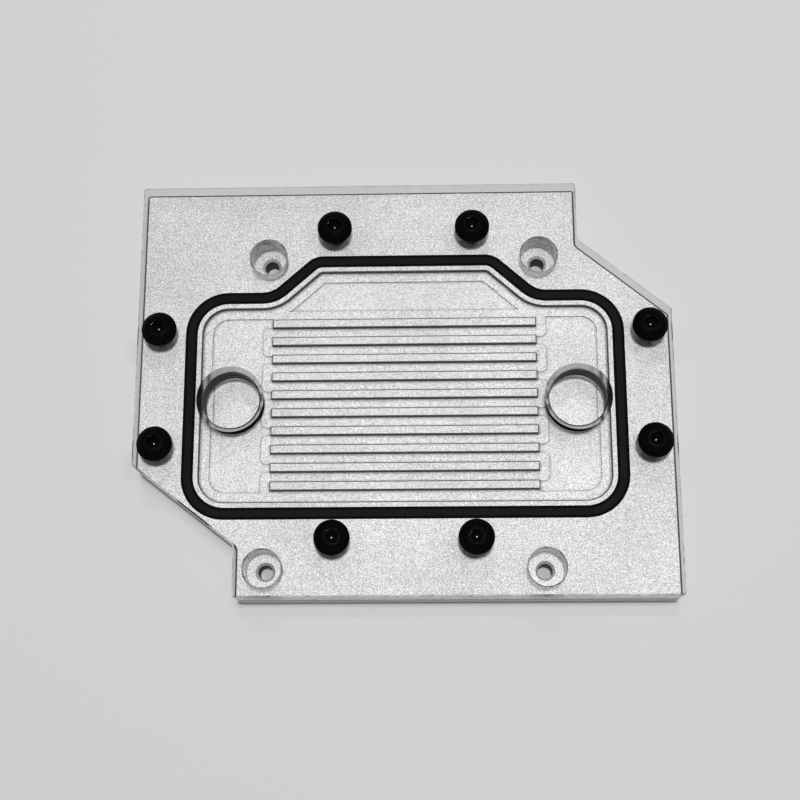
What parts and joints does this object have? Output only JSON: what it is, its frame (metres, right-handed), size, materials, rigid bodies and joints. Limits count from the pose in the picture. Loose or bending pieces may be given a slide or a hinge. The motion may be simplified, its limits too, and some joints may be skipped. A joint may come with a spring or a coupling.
{
  "type": "gpu backplate water block",
  "caption": "Flat liquid cooling block for the back of a graphics card: a milled metal base with cooling fins, a sealing ring, a clear screwed-down cover and threaded ports.",
  "frame": {"origin": "centre of the outline's box, on the flat underside that lies on the graphics card's back", "axes": "+X from the left port to the right port, +Y up the face towards the peak of the sealing ring, +Z out of the clear cover"},
  "size_m": [0.11, 0.0864, 0.0137],
  "materials": {
    "milled_metal": "fine milled bare metal with a bead-like speckle",
    "clear_acrylic": "clear polished faces, milled edges",
    "black_rubber": "smooth matt black",
    "black_screw": "glossy black oxide"
  },
  "bodies": {
    "root": {"base_plate": "milled_metal", "clear_cover": "clear_acrylic", "sealing_ring": "black_rubber", "cover_screw_top_left": "black_screw", "cover_screw_top_right": "black_screw", "cover_screw_bottom_left": "black_screw", "cover_screw_bottom_right": "black_screw", "cover_screw_left_upper": "black_screw", "cover_screw_left_lower": "black_screw", "cover_screw_right_upper": "black_screw", "cover_screw_right_lower": "black_screw"}
  },
  "joints": []
}
